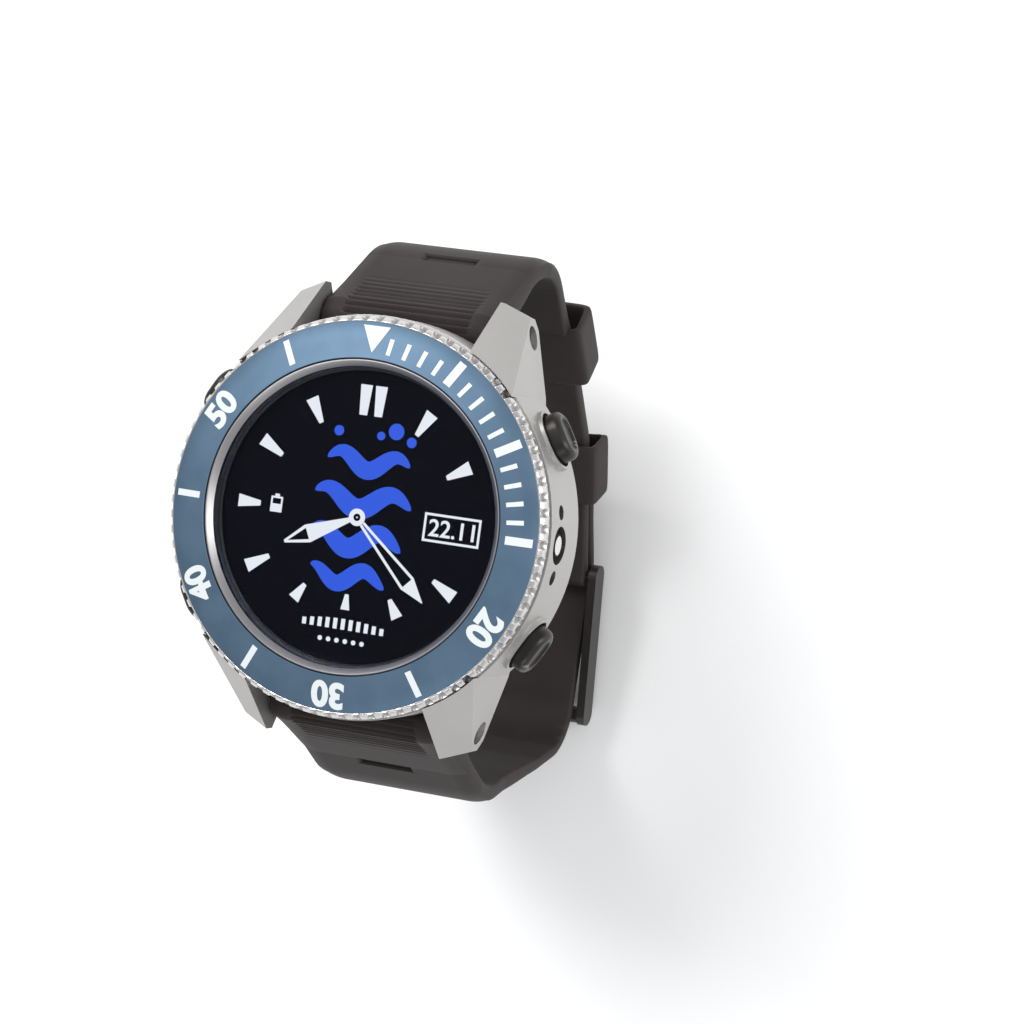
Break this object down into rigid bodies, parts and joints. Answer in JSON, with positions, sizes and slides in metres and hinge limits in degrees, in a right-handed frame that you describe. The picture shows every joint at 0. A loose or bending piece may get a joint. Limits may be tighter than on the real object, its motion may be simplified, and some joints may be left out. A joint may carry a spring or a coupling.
{
  "type": "wrist dive computer",
  "caption": "Round watch-style dive computer with a rotating minute bezel, push-buttons round the case, a flat display and a buckled rubber wrist strap.",
  "frame": {"origin": "centre of the case back's flat wrist side", "axes": "+Z out through the dial, +Y towards 12 o'clock, +X towards 3 o'clock"},
  "size_m": [0.0466, 0.0673, 0.069],
  "materials": {
    "case_steel": "bead-blasted stainless steel",
    "polished_steel": "polished stainless steel",
    "insert_blue": "satin blue anodised aluminium with white markings",
    "crystal_glass": "sapphire crystal with an anti-reflection coating",
    "display": "black display panel with a lit watch face",
    "strap_rubber": "dark brown-black moulded rubber, matt",
    "black_steel": "black coated steel, satin",
    "seal_rubber": "black sealing rubber",
    "spring_steel": "bright spring steel",
    "frame_plastic": "black moulded plastic",
    "backlight": "white light guide",
    "board": "green circuit board",
    "chip": "black moulded chip package",
    "battery_can": "nickel-plated steel can",
    "foam": "black foam",
    "gold": "gold-plated contact"
  },
  "bodies": {
    "root": {"case_middle": "case_steel", "case_back": "case_steel", "case_back_gasket": "seal_rubber", "case_back_screws": "polished_steel", "crystal": "crystal_glass", "crystal_ring": "polished_steel", "crystal_gasket": "seal_rubber", "bezel_wire": "spring_steel", "bezel_gasket": "seal_rubber", "bezel_click_spring": "spring_steel", "button_tubes": "polished_steel", "button_switches": "spring_steel", "pressure_port_plug": "polished_steel", "pressure_sensor": "polished_steel", "pressure_sensor_seal": "seal_rubber", "strap_bar_upper": "polished_steel", "strap_bar_lower": "polished_steel", "strap_bar_screws": "black_steel", "display_panel": "display", "display_backlight": "backlight", "module_frame": "frame_plastic", "main_board": "board", "processor_chip": "chip", "memory_chip": "chip", "radio_module": "chip", "compass_chip": "chip", "battery": "battery_can", "battery_pad": "foam", "buzzer_disc": "gold", "vibration_motor": "polished_steel", "charging_pins": "gold"},
    "bezel": {"bezel_ring": "polished_steel", "bezel_insert": "insert_blue"},
    "button_2": {"button_cap_2": "black_steel", "button_stem_2": "polished_steel", "button_seal_2": "seal_rubber", "button_spring_2": "spring_steel"},
    "button_10": {"button_cap_10": "black_steel", "button_stem_10": "polished_steel", "button_seal_10": "seal_rubber", "button_spring_10": "spring_steel"},
    "button_8": {"button_cap_8": "black_steel", "button_stem_8": "polished_steel", "button_seal_8": "seal_rubber", "button_spring_8": "spring_steel"},
    "button_4": {"button_cap_4": "black_steel", "button_stem_4": "polished_steel", "button_seal_4": "seal_rubber", "button_spring_4": "spring_steel"},
    "strap_upper": {"strap_upper_band": "strap_rubber", "keeper_fixed": "strap_rubber"},
    "strap_back": {"strap_upper_end": "strap_rubber", "strap_tail": "strap_rubber", "buckle_frame": "black_steel", "buckle_bar": "black_steel"},
    "tang": {"buckle_tang": "black_steel"},
    "keeper": {"keeper_sliding": "strap_rubber"},
    "strap_lower": {"strap_lower_band": "strap_rubber"}
  },
  "joints": [
    {"name": "bezel_turn", "type": "hinge", "parent": "root", "child": "bezel", "pos_m": [0, 0, 0.013], "axis": [0, 0, 1], "continuous": true},
    {"name": "button_2_press", "type": "slide", "parent": "root", "child": "button_2", "axis": [-0.866, -0.5, 0], "range_m": [0, 0.0008], "stiffness_N_per_m": 1000, "springref_m": -0.001, "deforming": ["button_spring_2"]},
    {"name": "button_10_press", "type": "slide", "parent": "root", "child": "button_10", "axis": [0.866, -0.5, 0], "range_m": [0, 0.0008], "stiffness_N_per_m": 1000, "springref_m": -0.001, "deforming": ["button_spring_10"]},
    {"name": "button_8_press", "type": "slide", "parent": "root", "child": "button_8", "axis": [0.866, 0.5, 0], "range_m": [0, 0.0008], "stiffness_N_per_m": 1000, "springref_m": -0.001, "deforming": ["button_spring_8"]},
    {"name": "button_4_press", "type": "slide", "parent": "root", "child": "button_4", "axis": [-0.866, 0.5, 0], "range_m": [0, 0.0008], "stiffness_N_per_m": 1000, "springref_m": -0.001, "deforming": ["button_spring_4"]},
    {"name": "strap_flex", "type": "hinge", "parent": "root", "child": "strap_upper", "pos_m": [0, 0.0231, 0.0032], "axis": [1, 0, 0], "range_deg": [-8, 8], "stiffness_Nm_per_rad": 0.5},
    {"name": "strap_back_flex", "type": "hinge", "parent": "strap_upper", "child": "strap_back", "pos_m": [0, 0.0156, -0.03748], "axis": [1, 0, 0], "range_deg": [-8, 8]},
    {"name": "strap_lower_flex", "type": "hinge", "parent": "strap_back", "child": "strap_lower", "pos_m": [0, -0.0306, -0.03748], "axis": [1, 0, 0], "range_deg": [-8, 8]},
    {"name": "tang_lift", "type": "hinge", "parent": "strap_back", "child": "tang", "pos_m": [0, -0.0058, -0.0479], "axis": [1, 0, 0], "range_deg": [0, 12]},
    {"name": "keeper_slide", "type": "slide", "parent": "strap_back", "child": "keeper", "axis": [0, -0.9241, -0.382], "range_m": [0, 0.003]}
  ],
  "couplings": [
    {"joint": "strap_back_flex", "follows": "strap_flex", "ratio": -1},
    {"joint": "strap_lower_flex", "follows": "strap_flex", "ratio": 1}
  ]
}
